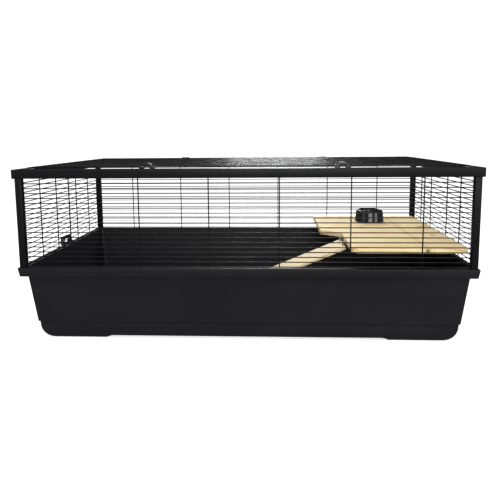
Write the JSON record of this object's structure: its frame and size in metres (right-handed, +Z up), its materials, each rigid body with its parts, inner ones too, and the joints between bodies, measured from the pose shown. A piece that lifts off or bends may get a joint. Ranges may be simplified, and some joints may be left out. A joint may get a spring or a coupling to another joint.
{
  "type": "wire rabbit cage",
  "caption": "Low wide small-animal cage: deep moulded tub, wire walls between corner posts, hinged wire roof with clips, side latches, wooden shelf and ramp, feed bowl.",
  "frame": {"origin": "on the floor under the middle of the cage", "axes": "+X along the length to the right seen from the front, +Y from the front to the back, +Z up"},
  "size_m": [1, 0.54, 0.4],
  "materials": {
    "tub": "fine satin moulded plastic",
    "frame": "smooth satin moulded plastic",
    "wire": "semi-gloss black coating",
    "clip": "glossy moulded plastic",
    "pin": "plain drawn steel",
    "zinc": "zinc-plated steel",
    "pine": "planed pine, unfinished",
    "pale_wood": "planed pale softwood, unfinished",
    "bowl": "polished dark plastic"
  },
  "bodies": {
    "cage": {"base_tub": "tub", "post_front_left": "frame", "post_front_right": "frame", "post_back_left": "frame", "post_back_right": "frame", "rail_front": "frame", "rail_back": "frame", "rail_left": "frame", "rail_right": "frame", "panel_front": "wire", "panel_back": "wire", "panel_left": "wire", "panel_right": "wire", "lid_hinge_left": "clip", "lid_hinge_screw_left": "zinc", "latch_bracket_left": "clip", "latch_pin_left": "pin", "lid_hinge_right": "clip", "lid_hinge_screw_right": "zinc", "latch_bracket_right": "clip", "latch_pin_right": "pin", "shelf_board": "pine", "shelf_hook_side_1": "zinc", "shelf_screw_side_1": "zinc", "shelf_hook_side_2": "zinc", "shelf_screw_side_2": "zinc", "shelf_hook_side_3": "zinc", "shelf_screw_side_3": "zinc", "shelf_hook_back_1": "zinc", "shelf_screw_back_1": "zinc", "shelf_hook_back_2": "zinc", "shelf_screw_back_2": "zinc", "shelf_eye_front": "pin", "shelf_eye_back": "pin"},
    "lid": {"lid_grille": "wire"},
    "lid_clip_left": {"lid_clip_left": "clip"},
    "lid_clip_right": {"lid_clip_right": "clip"},
    "latch_left": {"latch_lever_left": "clip"},
    "latch_right": {"latch_lever_right": "clip"},
    "ramp": {"ramp_board": "pale_wood", "ramp_staple_front": "pin", "ramp_staple_back": "pin"},
    "bowl": {"feed_bowl": "bowl"}
  },
  "joints": [
    {"name": "lid_hinge", "type": "hinge", "parent": "cage", "child": "lid", "pos_m": [0, 0.251, 0.389], "axis": [-1, 0, 0], "range_deg": [0, 105]},
    {"name": "lid_clip_left_turn", "type": "hinge", "parent": "lid", "child": "lid_clip_left", "pos_m": [-0.211, -0.24, 0.389], "axis": [1, 0, 0], "range_deg": [0, 35]},
    {"name": "lid_clip_right_turn", "type": "hinge", "parent": "lid", "child": "lid_clip_right", "pos_m": [0.211, -0.24, 0.389], "axis": [1, 0, 0], "range_deg": [0, 35]},
    {"name": "latch_left_turn", "type": "hinge", "parent": "cage", "child": "latch_left", "pos_m": [-0.4955, 0, 0.1765], "axis": [0, -1, 0], "range_deg": [0, 90]},
    {"name": "latch_right_turn", "type": "hinge", "parent": "cage", "child": "latch_right", "pos_m": [0.4955, 0, 0.1765], "axis": [0, 1, 0], "range_deg": [0, 90]},
    {"name": "ramp_lift", "type": "hinge", "parent": "cage", "child": "ramp", "pos_m": [0.227, -0.119, 0.205], "axis": [0, 1, 0], "range_deg": [0, 45]},
    {"name": "bowl_lift", "type": "slide", "parent": "cage", "child": "bowl", "axis": [0, 0, 1], "range_m": [0, 0.1]}
  ]
}
